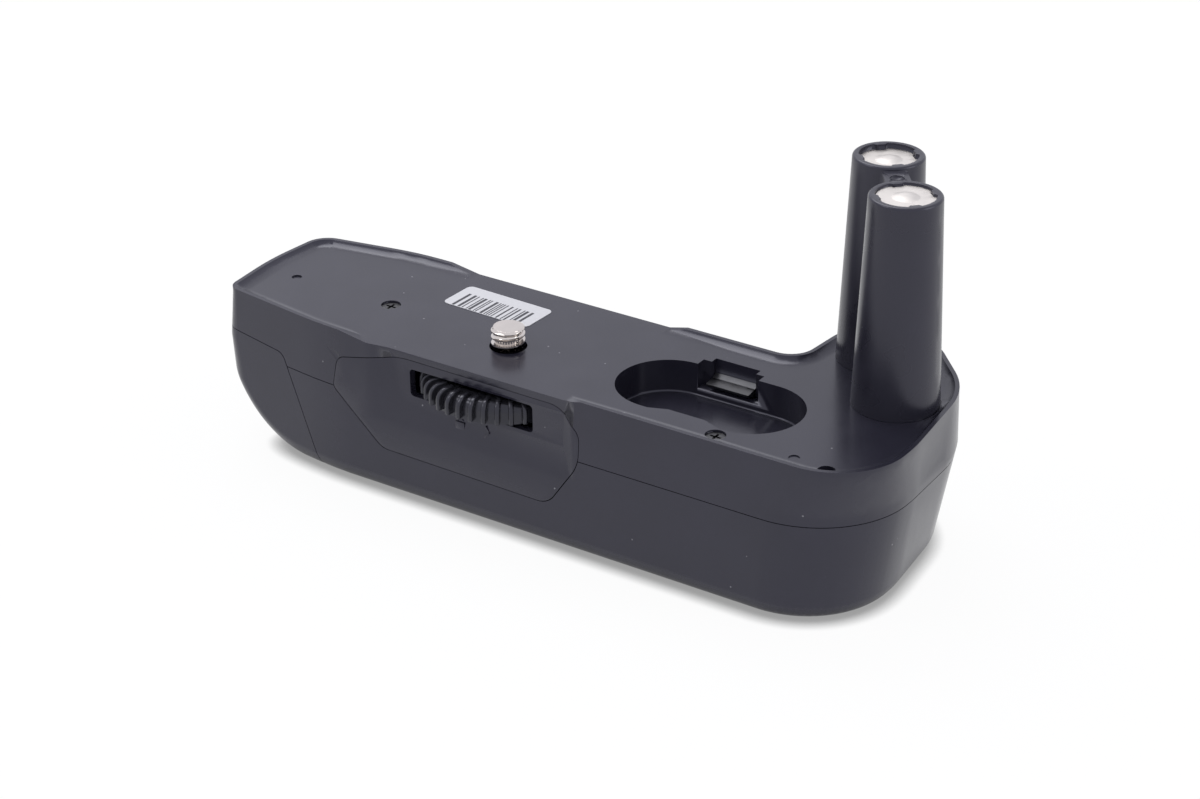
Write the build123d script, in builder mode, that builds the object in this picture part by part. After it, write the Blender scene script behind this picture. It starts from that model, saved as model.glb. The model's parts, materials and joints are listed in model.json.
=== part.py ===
import os
from math import atan2, degrees, pi, sqrt

from build123d import *

# Battery grip that screws under a camera. Millimetres, +Z up, X along the grip, Y away from the palm side.
# The origin is the camera screw's axis where it leaves the deck.

os.makedirs("parts", exist_ok=True)

# Shared thicknesses and gaps
wall = 1.5
deck_wall = 2.0
seam_gap = 0.15
running_gap = 0.1
clearance = 0.3
thin_gap = 0.05
overrun = 1.0

# Self-tapping screws
screw_radius = 1.0
screw_head_radius = 1.8
screw_head = 0.9
screw_recess = 0.4
screw_slot = 0.5
pilot_radius = screw_radius + thin_gap
boss_radius = 2.6
tray_boss_radius = 2.1

# Camera screw, a quarter inch with twenty threads to the inch
thread_radius = 3.175
thread_pitch = 1.27
thread_root = 2.55
land_height = 0.25
land_count = 3
land_rise = 0.1
screw_top = 4.0
screw_shank_radius = 2.6
hex_across = 9.0
hex_height = 1.6
hex_spigot = 0.9
spigot_radius = 2.2
screw_spring_wire = 0.45
screw_spring_turns = 3

# Thumb wheel and what it turns in
screw_hole_radius = 3.55
deck_boss_radius = 5.2
deck_boss_depth = 3.4
wheel_radius = 16.7
wheel_ribs = 40
rib_width = 1.15
rib_depth = 0.7
rim_depth = 3.9
rim_height = 4.5
rim_round = 0.9
rim_wall = 3.9
web_thickness = 1.8
hub_radius = 6.6
hub_height = 7.5
hub_floor = 1.0
carrier_thickness = 1.6
carrier_gap = 0.2
carrier_rim = 2.4
carrier_arm = 3.2
carrier_post_radius = 2.0
carrier_side_reach = 19.6
carrier_far_reach = 19.2
carrier_side_y = 2.0

hub_top = -(deck_boss_depth + running_gap)
hub_bottom = hub_top - hub_height
hex_top = hub_top - running_gap
socket_floor = hub_bottom + hub_floor
rim_bottom = -(rim_depth + rim_height)
carrier_top = rim_bottom - carrier_gap
carrier_bottom = carrier_top - carrier_thickness

# Four cells lie in two channels, two in line in each
cell_length = 50.5
cell_bore_radius = 7.45
channel_web = 1.5
tray_roof = 0.65
tray_floor = 1.55
tray_side = 0.5
tray_gap = 0.4
tray_side_gap = 0.5
tray_top_gap = 1.2
tray_chamfer = 3.0
cell_overhang = 1.5
door_swing_gap = 2.27
contact_space = 1.55
end_cap_thickness = 3.0
contact_plate = 0.4
contact_radius = 6.6
contact_button_radius = 2.2
contact_spring_radius = 3.2
contact_spring_wire = 0.5
contact_spring_turns = 3
contact_spring_length = 4.5

# Overall case
near_depth = 13.4
hinge_reach = 35.8
door_depth = 24.9
end_space = 11.6
bulge_step = 19.9
end_bulge = 1.5
end_arc_radius = 21.9
edge_round = 4.0
draw_depth = 9.5
seam_depth = 11.2
seam_lip = 0.8
seam_lip_rise = 0.8
deck_lip_height = 1.0
deck_lip_width = 0.8
deck_lip_slope = 0.8
deck_lip_foot_height = 0.35
deck_lip_foot = 1.6
lip_gap_left = (29.5, 23.0)
lip_gap_right = (25.0, 21.0)

channel_offset = cell_bore_radius + channel_web / 2
tray_half_width = channel_offset + cell_bore_radius + tray_side
tray_top = hub_bottom - tray_top_gap
cell_z = tray_top - tray_roof - cell_bore_radius
tray_bottom = cell_z - cell_bore_radius - tray_floor
case_height = wall + tray_gap - tray_bottom
tray_y = tray_half_width + tray_side_gap + wall - near_depth
far_depth = tray_y + tray_half_width + tray_side_gap + wall
bulge_depth = far_depth + bulge_step
left_reach = hinge_reach + door_depth
end_reach = left_reach + end_bulge
tray_left = door_swing_gap - hinge_reach
cell_left = tray_left - cell_overhang
cell_right = cell_left + 2 * cell_length
contact_x = cell_right + contact_space
tray_right = contact_x + thin_gap
right_reach = tray_right + end_cap_thickness + end_space

# Corners of the plan outline, clockwise. Each row names the depth that y follows, then gives x in shares of
# the reach to that side, y of that depth and the corner radius of near_depth. The three levels are the deck,
# the height where the walls are widest, and the underside.
plan_shares = [
    ("near", -0.977, 0.724, 0.22, -0.977, 0.724, 0.30, -0.977, 0.724, 0.60),
    ("far", -1.0, 0.197, 4.10, -1.0, 0.197, 4.10, -1.0, 0.197, 4.10),
    ("far", -0.980, 0.829, 0.37, -0.980, 0.829, 0.47, -0.980, 0.829, 0.67),
    ("far", -0.626, 1.0, 4.48, -0.611, 1.0, 4.48, -0.611, 1.0, 4.48),
    ("far", 0.591, 1.0, 0.37, 0.591, 1.0, 0.37, 0.591, 1.0, 0.45),
    ("bulge", 0.611, 1.0, 0.69, 0.611, 1.0, 0.69, 0.627, 0.941, 0.67),
    ("bulge", 0.813, 1.0, 0.82, 0.811, 0.995, 0.82, 0.797, 0.941, 0.90),
    ("bulge", 0.972, 0.660, 1.64, 0.983, 0.660, 1.64, 0.929, 0.632, 1.49),
    ("far", 1.003, 0.175, 2.99, 0.989, 0.301, 2.99, 0.957, 0.301, 1.80),
    ("near", 0.997, 1.0, 1.04, 0.981, 1.0, 1.40, 0.951, 1.0, 1.34),
    ("near", -0.544, 1.0, 6.70, -0.531, 1.0, 6.70, -0.531, 1.0, 6.70),
]
tight_radius = 0.2

# Shallow scoop in the near face behind the wheel: how far in it goes at four heights and four places along X
scoop_depth = 1.2
scoop_left = (22.5, 15.0)
scoop_right = (23.0, 20.5)
scoop_round = 16.0
scoop_end_round = 3.0
scoop_heights_shares = [(0.0, 0.55), (0.10, 0.95), (0.30, 1.0), (0.50, 0.0)]
scoop_height_round = 6.0

# Rear panel outline from the palm side, in shares of its reach to each side and its depth under the deck
panel_left = 31.4
panel_right = 24.6
panel_depth = 21.8
panel_shares = [
    (-0.957, 0.225, 0.12),
    (-0.50, 0.069, 0.92),
    (0.772, 0.078, 0.18),
    (1.0, 0.257, 0.14),
    (0.988, 0.550, 0.37),
    (0.715, 1.0, 0.20),
    (-0.641, 0.977, 0.18),
    (-1.0, 0.518, 0.07),
]
panel_gap = 0.12
panel_backing = 1.3
panel_hook = 1.2
panel_backing_depth = 12.5
window_side_gap = 0.9
window_top_gap = 0.5
window_bottom_gap = 0.55
window_round = 0.8

# Battery door at the left end, its hinge low on the underside
door_top_depth = 7.3
door_corner_reach = 44.8
door_corner_depth = 8.6
door_corner_round = 2.2
pin_radius = 0.6
pin_gap = 0.08
barrel_radius = 1.15
barrel_lift = 0.05
barrel_gap = 0.2
barrel_near = 8.5
barrel_far = 18.0
knuckle_length = 4.9
knuckle_arm = 0.6
hinge_edge_gap = 0.15

hinge_x = -hinge_reach
hinge_z = barrel_radius + barrel_lift - case_height
notch_radius = barrel_radius + barrel_gap
door_corner = (-door_corner_reach, -door_corner_depth)

# Latch that slides down inside the door's end wall
latch_y = 4.5
latch_width = 9.0
latch_plate = 1.2
latch_reach = 3.9
latch_travel = 2.5
latch_top_depth = 3.9
latch_length = 12.2
latch_neck_width = 5.0
latch_neck_height = 2.5
latch_neck_depth = 10.5
pad_width = 9.0
pad_height = 4.0
pad_proud = 0.3
pad_depth = 9.4
recess_depth = 0.8
recess_width = 13.0
recess_height = 9.0
strike_width = 7.0
strike_overlap = 2.3
rail_thickness = 0.95
rail_lip = 0.95
latch_spring_radius = 1.2
latch_spring_wire = 0.35
latch_spring_length = 5.5
latch_spring_offset = 1.6
latch_tab = 1.0
latch_spring_turns = 5
pad_grooves = 3
pad_groove = 0.4

# Contact block on the door
block_reach = 6.2
block_thickness = 2.0
block_side_gap = 0.6
block_margin = 1.2
block_round = 2.5
bridge_end = 2.0
bridge_height = 7.0
door_rib = 1.2
pin_inset = 0.2

latch_x = -left_reach + latch_reach
latch_back = latch_x + latch_plate
latch_bottom = -(latch_top_depth + latch_length)
spring_x = latch_back + latch_spring_offset
spring_top = -(pad_depth + running_gap)
spring_bottom = spring_top - latch_spring_length
pad_back = -end_reach + recess_depth - running_gap
block_x = hinge_x - block_reach
block_top = tray_top - block_margin / 2
block_bottom = tray_bottom + block_margin
block_half = tray_half_width + tray_side_gap - block_side_gap
bridge_half = channel_offset + cell_bore_radius - bridge_end

# Pocket for the camera's own battery lid, two overlapping round ends with a waist on the near side
pocket_from_end = 31.77
pocket_spacing = 17.1
pocket_right_radius = 9.9
pocket_left_radius = 9.8
pocket_y = 2.9
pocket_depth = 6.4
pocket_wall = 1.2
waist_depth = 5.55
waist_half = 3.75
waist_offset = 0.4
waist_run = 14.5
clip_offset = 6.5
clip_recess_width = 12.8
clip_recess_depth = 2.0
clip_recess_floor = 5.0
clip_notch_width = 9.4
clip_notch_depth = 3.6
clip_width = 9.0
clip_sheet = 0.4
clip_crest_depth = 2.6
clip_fold = (1.1, 3.15)
clip_tip = (3.5, 3.45)
clip_tab = (1.4, 1.5)

pocket_x = right_reach - pocket_from_end
pocket_left_x = pocket_x - pocket_spacing
clip_x = pocket_left_x + clip_offset
clip_edge_y = pocket_y + pocket_right_radius

# Contact tower: two tapered posts joined by a web
post_height = 39.9
post_top_radius = 6.5
post_base_radius = 8.0
post_wall = 1.4
near_post_inset = (11.4, 24.1)
far_post_inset = (22.4, 9.5)
bridge_width = 4.6
bridge_drop = 0.8
bridge_hole_radius = 1.3
bridge_hole_depth = 0.3
tip_round = 0.5
tip_seat_radius = 4.1
tip_seat_drops = (0.9, 1.4)
tip_recess_radius = 4.75
tip_notch_radius = 5.35
tip_notch_width = 5.6
tip_plate_gap = 0.12
tip_dome_radius = 2.6
tip_dome_height = 0.5
post_screw_reach = 4.5
post_screw_boss = 1.8
post_boss_height = 9.0
lead_width = 3.0
lead_sheet = 0.4
lead_depth = 10.0
lead_hole_radius = 2.6

near_post = (right_reach - near_post_inset[0], bulge_depth - near_post_inset[1])
far_post = (right_reach - far_post_inset[0], bulge_depth - far_post_inset[1])
tip_seats = [post_height - drop for drop in tip_seat_drops]
near_lead_x = contact_x + lead_sheet / 2
far_lead_x = far_post[0] + tip_seat_radius - thin_gap - lead_width / 4

# Tripod socket in the underside
socket_outer_radius = 4.0
socket_depth = 4.8
socket_flange_radius = 5.2
socket_flange = 0.8
socket_pad = 2.8

# Deck marks and fasteners, measured in from the case's own edges
locating_hole_radius = 1.0
locating_hole_depth = 0.3
locating_hole_inset = 8.4
locating_hole_y = 2.45
dark_hole_radius = 1.55
dark_hole_depth = 3.0
dark_hole_inset = (9.4, 3.5)
dimple_radius = 1.0
dimple_depth = 0.2
dimple_inset = (16.2, 4.4)
deck_screw_left = hinge_reach - 6.7
deck_screw_left_y = 2.35
deck_screw_near = 4.2
deck_screw_length = 10.5
deck_screw_boss_depth = 7.7
carrier_screw_length = 5.0
case_screw_length = 6.5
case_pad = 2.6
tower_screw_length = 7.0
case_screw_far = (27.6, 14.3)
case_screw_right = (12.6, 15.2)
case_screw_tray_left = 10.0
case_screw_tray_right = 62.0
label_width = 20.0
label_height = 8.8
label_round = 1.2
label_thickness = 0.1
label_left = 11.4
label_from_far = 10.2
label_turn = -1.9


def plan_corners(level, inset):
    # Corners and radii of the plan outline at level 0, 1 or 2, from the deck down, moved inwards
    depths = {"near": -near_depth, "far": far_depth, "bulge": bulge_depth}
    corners = []
    for side, *shares in plan_shares:
        x_share, y_share, radius_share = shares[3 * level : 3 * level + 3]
        left = end_reach if level else left_reach
        reach = left if x_share < 0 else right_reach
        corners.append((Vector(x_share * reach, y_share * depths[side]), radius_share * near_depth))
    moved = []
    for index, (corner, radius) in enumerate(corners):
        into = (corner - corners[index - 1][0]).normalized()
        out = (corners[(index + 1) % len(corners)][0] - corner).normalized()
        normals = Vector(into.Y + out.Y, -into.X - out.X)
        shift = normals * (inset / (1 + into.dot(out)))
        hollow = into.X * out.Y > into.Y * out.X
        moved.append((corner + shift, max(radius + inset if hollow else radius - inset, tight_radius)))
    return moved


def plan_face(level=0, inset=0.0):
    corners = plan_corners(level, inset)
    with BuildLine() as outline:
        places = [corner for corner, _ in corners]
        FilletPolyline(*places, radius=[radius for _, radius in corners], close=True)
    make_face(outline.edges())


def polygon_face(*points, radii=None):
    with BuildLine() as outline:
        if radii:
            FilletPolyline(*points, radius=radii, close=True)
        else:
            Polyline(*points, close=True)
    make_face(outline.edges())


# A plane behind the whole grip, from which side profiles are extruded towards the palm side
side_plane = Plane.XZ.offset(-(bulge_depth + overrun))
side_span = bulge_depth + near_depth + wheel_radius
far_left = -(end_reach + overrun)
far_right = right_reach + overrun
far_below = -(case_height + overrun)


def grip_shape(inset, top):
    # The grip's outer form moved inwards by inset, from the underside up to the height top
    floor = inset - case_height
    arc_radius = end_arc_radius - inset
    arc_x = end_arc_radius - end_reach
    arc_z = end_arc_radius - case_height
    with BuildPart() as shape:
        with BuildSketch(Plane.XY.offset(floor)):
            plan_face(2, inset)
        with BuildSketch(Plane.XY.offset(-draw_depth)):
            plan_face(1, inset)
        loft(ruled=True)
        with BuildSketch(side_plane):
            with BuildLine():
                Polyline((arc_x, floor), (far_right, floor), (far_right, 0), (far_left - arc_radius, 0),
                         (far_left - arc_radius, arc_z), (arc_x - arc_radius, arc_z))
                RadiusArc((arc_x - arc_radius, arc_z), (arc_x, floor), -arc_radius)
            make_face()
        extrude(amount=side_span, mode=Mode.INTERSECT)
        underside = shape.faces().sort_by(Axis.Z)[0]
        flat_edges = underside.edges().filter_by(lambda edge: edge.center().X > arc_x + tight_radius)
        end_edges = shape.edges().filter_by(
            lambda edge: edge.center().X < arc_x
            and floor < edge.center().Z < arc_z
            and abs(edge.tangent_at(0.5).X) > 0.05
            and abs(edge.tangent_at(0.5).Z) > 0.05
        )
        fillet(flat_edges + end_edges, edge_round - inset if edge_round > inset else edge_round / 4)
        with BuildSketch(Plane.XY.offset(-draw_depth)):
            plan_face(1, inset)
        with BuildSketch(Plane.XY):
            plan_face(0, inset)
        loft(ruled=True)
        with BuildSketch(Plane.XY.offset(top)):
            if top < 0:
                Rectangle(4 * end_reach, 4 * bulge_depth)
            else:
                plan_face(0, inset)
        extrude(amount=-top, mode=Mode.SUBTRACT if top < 0 else Mode.ADD)
    return shape.part


with BuildPart() as scoop:
    with BuildSketch(Plane.XY.offset(far_below)):
        polygon_face(
            (-scoop_left[0] - scoop_left[1], -near_depth),
            (-scoop_left[0], -near_depth),
            (-scoop_left[1], scoop_depth - near_depth),
            (scoop_right[1], scoop_depth - near_depth),
            (scoop_right[0], -near_depth),
            (far_right, -near_depth),
            (far_right, -2 * near_depth),
            (-scoop_left[0] - scoop_left[1], -2 * near_depth),
            radii=[0, scoop_round, scoop_round, scoop_end_round, scoop_end_round, 0, 0, 0],
        )
    extrude(amount=case_height + 2 * overrun + deck_lip_height)
    with BuildSketch(Plane.YZ.offset(far_left)):
        heights = [
            (share * scoop_depth - near_depth, -drop * case_height) for drop, share in scoop_heights_shares
        ]
        polygon_face(
            (heights[0][0], deck_lip_height + overrun),
            *heights,
            (-near_depth, far_below),
            (-2 * near_depth, far_below),
            (-2 * near_depth, deck_lip_height + overrun),
            radii=[0] + 4 * [scoop_height_round] + 3 * [0],
        )
    extrude(amount=far_right - far_left, mode=Mode.INTERSECT)

outer_form = grip_shape(0.0, deck_lip_height)
inner_form = grip_shape(wall, -deck_wall)
room = grip_shape(wall + clearance, -deck_wall)

with BuildPart() as outside:
    add(outer_form)
    # The deck lies within a raised lip, which fades out on both sides of the screw
    with BuildSketch(Plane.XY.offset(deck_lip_height)):
        plan_face(0, deck_lip_width)
    with BuildSketch(Plane.XY.offset(deck_lip_foot_height)):
        plan_face(0, deck_lip_width + deck_lip_slope)
    loft(ruled=True, mode=Mode.SUBTRACT)
    with BuildSketch(Plane.XY.offset(deck_lip_foot_height)):
        plan_face(0, deck_lip_width + deck_lip_slope)
    with BuildSketch(Plane.XY):
        plan_face(0, deck_lip_width + deck_lip_slope + deck_lip_foot)
    loft(ruled=True, mode=Mode.SUBTRACT)
    with BuildSketch(side_plane):
        polygon_face(
            (-lip_gap_left[0], deck_lip_height + overrun),
            (-lip_gap_left[0], deck_lip_height),
            (-lip_gap_left[1], 0),
            (lip_gap_right[1], 0),
            (lip_gap_right[0], deck_lip_height),
            (lip_gap_right[0], deck_lip_height + overrun),
        )
    extrude(amount=side_span, mode=Mode.SUBTRACT)
    add(scoop.part, mode=Mode.SUBTRACT)


def keep_between(bottom, top):
    # Keeps what the open part has between two heights
    with BuildSketch(Plane.XY.offset(bottom)) as section:
        Rectangle(2 * (right_reach + left_reach), 4 * bulge_depth)
    extrude(section.sketch, amount=top - bottom, mode=Mode.INTERSECT)


def add_ring(center, bottom, top, outer, inner=0.0):
    # Adds an upright cylinder or ring to the open part
    with BuildSketch(Plane.XY.offset(bottom)) as section:
        with Locations(center):
            Circle(outer)
            if inner:
                Circle(inner, mode=Mode.SUBTRACT)
    extrude(section.sketch, amount=top - bottom)


def cut_hole(center, bottom, top, radius):
    with BuildSketch(Plane.XY.offset(bottom)) as section:
        with Locations(center):
            Circle(radius)
    extrude(section.sketch, amount=top - bottom, mode=Mode.SUBTRACT)


def add_block(x, y, z, mode=Mode.ADD):
    # Adds or cuts a block between two places on each axis
    with BuildSketch(Plane.XY.offset(z[0])) as section:
        with Locations(((x[0] + x[1]) / 2, (y[0] + y[1]) / 2)):
            Rectangle(x[1] - x[0], y[1] - y[0])
    extrude(section.sketch, amount=z[1] - z[0], mode=mode)


prism_near = -near_depth - wheel_radius
prism_far = bulge_depth + overrun


def add_prism(face_points, radii=None, mode=Mode.ADD, near=prism_near, far=prism_far):
    # Adds or cuts an outline in X and Z, run along Y
    with BuildSketch(Plane.XZ.offset(-far)) as section:
        polygon_face(*face_points, radii=radii)
    extrude(section.sketch, amount=far - near, mode=mode)


def add_screw(center, seat, length, up=False):
    # Adds a cross-head screw whose head rests at the height seat and whose shank runs down, or up
    way = 1 if up else -1
    base = Plane(origin=(*center, seat), z_dir=(0, 0, way))
    with BuildSketch(base) as shank:
        Circle(screw_radius)
    extrude(shank.sketch, amount=length)
    with BuildSketch(base.offset(-screw_head)) as head:
        Circle(screw_head_radius)
    extrude(head.sketch, amount=screw_head)
    with BuildSketch(base.offset(-screw_head)) as cross:
        Rectangle(screw_head_radius * 1.2, screw_slot)
        Rectangle(screw_slot, screw_head_radius * 1.2)
    extrude(cross.sketch, amount=screw_head / 2, mode=Mode.SUBTRACT)


def coil(start, way, radius, wire, turns, length):
    # A round-wire spring from start along way, flush within its length
    rise = length - wire
    foot = Vector(*start) + Vector(*way) * (wire / 2)
    with BuildPart() as spring:
        with BuildLine() as path:
            Helix(pitch=rise / turns, height=rise, radius=radius - wire / 2, center=foot, direction=way)
        with BuildSketch(Plane(origin=path.line @ 0, z_dir=path.line % 0)):
            Circle(wire / 2)
        sweep(path=path.line, is_frenet=True)
    return spring.part


def finish(builder, name):
    builder.part.label = name
    export_step(builder.part, f"parts/{name}.step")


def door_region(gap):
    # The door's share of the side view; the case is cut with no gap and the door is drawn in by one
    edge_x = hinge_x + hinge_edge_gap if gap == 0 else hinge_x - notch_radius
    return [
        (far_left, -door_top_depth - gap),
        (door_corner[0] - gap, door_corner[1] - gap),
        (hinge_x - gap, hinge_z),
        (edge_x, hinge_z),
        (edge_x, far_below),
        (far_left, far_below),
    ]


door_radii = [0, door_corner_round, 0, 0, 0, 0]


def panel_outline(grow):
    # Points and radii of the rear panel's outline, grown outwards for the opening around it
    reach = (panel_left, panel_right)
    points = [(x * reach[x > 0] + (grow if x > 0 else -grow), -z * panel_depth) for x, z, _ in panel_shares]
    middle = -panel_depth / 2
    points = [(x, z + (grow if z > middle else -grow)) for x, z in points]
    return points, [max(radius * panel_depth, tight_radius) for *_, radius in panel_shares]


# Places of the fasteners
tray_seat_z = -deck_screw_boss_depth - running_gap
deck_screw_places = [
    (-deck_screw_left, deck_screw_left_y),
    (pocket_x, deck_screw_near - near_depth),
]
carrier_places = [
    (-carrier_side_reach, carrier_side_y),
    (carrier_side_reach, carrier_side_y),
    (0, carrier_far_reach),
]
shell_screw_places = [
    (right_reach - case_screw_far[0], bulge_depth - case_screw_far[1]),
    (right_reach - case_screw_right[0], bulge_depth - case_screw_right[1]),
]
tray_screw_places = [(tray_left + case_screw_tray_left, tray_y), (case_screw_tray_right, tray_y)]
post_places = [near_post, far_post]
tower_screw_places = [(x, y + side * post_screw_reach) for x, y in post_places for side in (-1, 1)]
lead_places = [(near_lead_x, near_post[1]), (far_lead_x, far_post[1])]
case_screw_seat = screw_recess + screw_head - case_height
case_pad_top = case_pad - case_height
socket_pad_top = socket_pad - case_height
backing_y = -(near_depth - wall - panel_backing)
window_half = sqrt(wheel_radius**2 - backing_y**2) + window_side_gap


def pocket_face(grow=0.0):
    # Outline of the lid pocket: the hull of its two round ends, less the waist on the near side
    with BuildSketch() as ends:
        with Locations((pocket_x, pocket_y)):
            Circle(pocket_right_radius + grow)
        with Locations((pocket_left_x, pocket_y)):
            Circle(pocket_left_radius + grow)
        make_hull()
    with BuildSketch() as waist:
        middle = pocket_left_x + pocket_spacing / 2 + waist_offset
        high = -waist_depth - grow
        low = -pocket_left_radius - pocket_wall - grow
        polygon_face(
            (middle - waist_half, high),
            (middle + waist_half, high),
            (middle + waist_half + waist_run, low),
            (middle - waist_half - waist_run, low),
        )
    add(ends.sketch - waist.sketch)


def clip_face(grow=0.0):
    # Outline of the recess behind the pocket's far wall, with a narrower step at its back
    with Locations((clip_x, clip_edge_y + clip_recess_depth / 2 - wall)):
        Rectangle(clip_recess_width + 2 * grow, clip_recess_depth + 2 * grow + 2 * wall)
    with Locations((clip_x, clip_edge_y + clip_notch_depth / 2 - wall)):
        Rectangle(clip_notch_width + 2 * grow, clip_notch_depth + 2 * grow + 2 * wall)


seam_z = -seam_depth
inner_edge = -near_depth + wall
guide_x = -end_reach + wall / 2
dark_hole_place = (right_reach - dark_hole_inset[0], dark_hole_inset[1] - near_depth)
dimple_place = (right_reach - dimple_inset[0], dimple_inset[1] - near_depth)

# Upper case: deck, lip and upper side walls, with the pocket and everything that hangs under the deck
with BuildPart() as upper_case:
    add(outside.part)
    keep_between(seam_z + seam_gap / 2, deck_lip_height + overrun)
    add(inner_form, mode=Mode.SUBTRACT)
    # Bosses and posts under the deck
    add_ring((0, 0), -deck_boss_depth, -deck_wall, deck_boss_radius)
    for place in carrier_places:
        add_ring(place, carrier_top, -deck_wall, carrier_post_radius)
    for place in deck_screw_places:
        add_ring(place, -deck_screw_boss_depth, -deck_wall, boss_radius)
    for place in shell_screw_places:
        add_ring(place, case_pad_top + running_gap, -deck_wall, boss_radius)
    add_ring(dark_hole_place, -dark_hole_depth - deck_wall, -deck_wall, dark_hole_radius + wall)
    # Cup of the lid pocket and the recess behind it
    with BuildSketch(Plane.XY.offset(-pocket_depth - pocket_wall)):
        pocket_face(pocket_wall)
    extrude(amount=pocket_depth + pocket_wall - deck_wall)
    with BuildSketch(Plane.XY.offset(-clip_recess_floor - pocket_wall)):
        clip_face(pocket_wall)
    extrude(amount=clip_recess_floor + pocket_wall - deck_wall)
    # Strike that holds the door's latch
    strike_bottom = strike_overlap + latch_top_depth
    add_block((guide_x, latch_x - clearance), (latch_y - strike_width / 2, latch_y + strike_width / 2),
              (-strike_bottom, -latch_top_depth))
    add(outside.part, mode=Mode.INTERSECT)
    # Openings
    with BuildSketch(Plane.XY.offset(-pocket_depth)):
        pocket_face()
    extrude(amount=pocket_depth + overrun, mode=Mode.SUBTRACT)
    with BuildSketch(Plane.XY.offset(-clip_recess_floor)):
        clip_face()
    extrude(amount=clip_recess_floor + overrun, mode=Mode.SUBTRACT)
    cut_hole((0, 0), -deck_boss_depth - overrun, overrun, screw_hole_radius)
    for place in carrier_places:
        cut_hole(place, carrier_top - overrun, carrier_top + carrier_screw_length - screw_head, pilot_radius)
    for place in deck_screw_places:
        cut_hole(place, -deck_screw_boss_depth - overrun, overrun, pilot_radius)
        cut_hole(place, -screw_recess - screw_head, overrun, screw_head_radius + running_gap)
    for place in shell_screw_places:
        cut_hole(place, case_pad_top - overrun, case_screw_seat + case_screw_length + overrun, pilot_radius)
    for place in tower_screw_places:
        cut_hole(place, -deck_wall - overrun, overrun, pilot_radius)
    for place in lead_places:
        cut_hole(place, -deck_wall - overrun, overrun, lead_hole_radius)
    for place in post_places:
        cut_hole(place, 0, deck_lip_height + overrun, post_base_radius + seam_gap)
    cut_hole((-left_reach + locating_hole_inset, locating_hole_y), -locating_hole_depth, overrun,
             locating_hole_radius)
    cut_hole(dimple_place, -dimple_depth, overrun, dimple_radius)
    cut_hole(dark_hole_place, -dark_hole_depth, overrun, dark_hole_radius)
    add_prism(door_region(0), door_radii, Mode.SUBTRACT)
    opening, opening_radii = panel_outline(panel_gap)
    add_prism(opening, opening_radii, Mode.SUBTRACT, far=-near_depth + wall + overrun)
finish(upper_case, "upper_case")

# Ring that rises behind the seam: its foot joins the lower wall and its top clears the upper wall
lip_core = grip_shape(wall + seam_lip, -deck_wall)
with BuildPart() as seam_foot:
    add(inner_form)
    add(lip_core, mode=Mode.SUBTRACT)
    keep_between(tray_top + running_gap, seam_z - seam_gap / 2)
with BuildPart() as seam_ring:
    add(grip_shape(wall + running_gap, -deck_wall))
    add(lip_core, mode=Mode.SUBTRACT)
    keep_between(tray_top + running_gap, seam_z + seam_lip_rise)

# Lower case: side walls and floor, with the knuckle that carries the door
with BuildPart() as lower_case:
    add(outside.part)
    keep_between(far_below, seam_z - seam_gap / 2)
    add(inner_form, mode=Mode.SUBTRACT)
    # Lip that stands behind the upper case's wall
    add(seam_foot.part)
    add(seam_ring.part)
    for place in carrier_places:
        cut_hole(place, tray_top, 0, screw_head_radius + clearance)
    for place in deck_screw_places:
        cut_hole(place, tray_top, 0, tray_boss_radius + clearance)
    for place in shell_screw_places + tray_screw_places:
        add_ring(place, -case_height, case_pad_top, boss_radius + running_gap)
    add_ring((0, tray_y), -case_height, socket_pad_top, socket_flange_radius + wall / 2)
    # Openings
    add_prism(door_region(0), door_radii, Mode.SUBTRACT)
    opening, opening_radii = panel_outline(panel_gap)
    add_prism(opening, opening_radii, Mode.SUBTRACT, far=inner_edge + overrun)
    opening, opening_radii = panel_outline(panel_hook + clearance)
    add_prism(opening, opening_radii, Mode.SUBTRACT, near=inner_edge, far=inner_edge + seam_lip + overrun)
    with BuildSketch(Plane.XZ.offset(-barrel_far)):
        with Locations((hinge_x, hinge_z)):
            Circle(notch_radius)
    extrude(amount=barrel_far + barrel_near, mode=Mode.SUBTRACT)
    add_block((hinge_x - notch_radius, hinge_x + notch_radius), (-barrel_near, barrel_far),
              (far_below, hinge_z), Mode.SUBTRACT)
    for place in shell_screw_places + tray_screw_places:
        cut_hole(place, far_below, case_pad_top + overrun, pilot_radius + running_gap)
        cut_hole(place, far_below, case_screw_seat, screw_head_radius + running_gap)
    cut_hole((0, tray_y), far_below, socket_pad_top + overrun, socket_outer_radius + thin_gap)
    cut_hole((0, tray_y), far_below, socket_flange - case_height, socket_flange_radius + thin_gap)
    # Middle knuckle of the hinge
    middle_near = -barrel_near + knuckle_length + 2 * seam_gap
    middle_far = barrel_far - knuckle_length - 2 * seam_gap
    with BuildSketch(Plane.XZ.offset(-middle_far)):
        with Locations((hinge_x, hinge_z)):
            Circle(barrel_radius)
        with Locations((hinge_x + (notch_radius + knuckle_arm) / 2, hinge_z + barrel_radius / 2)):
            Rectangle(notch_radius + knuckle_arm, barrel_radius)
        with Locations((hinge_x, hinge_z)):
            Circle(pin_radius + pin_gap, mode=Mode.SUBTRACT)
    extrude(amount=middle_far - middle_near)
finish(lower_case, "lower_case")

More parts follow.
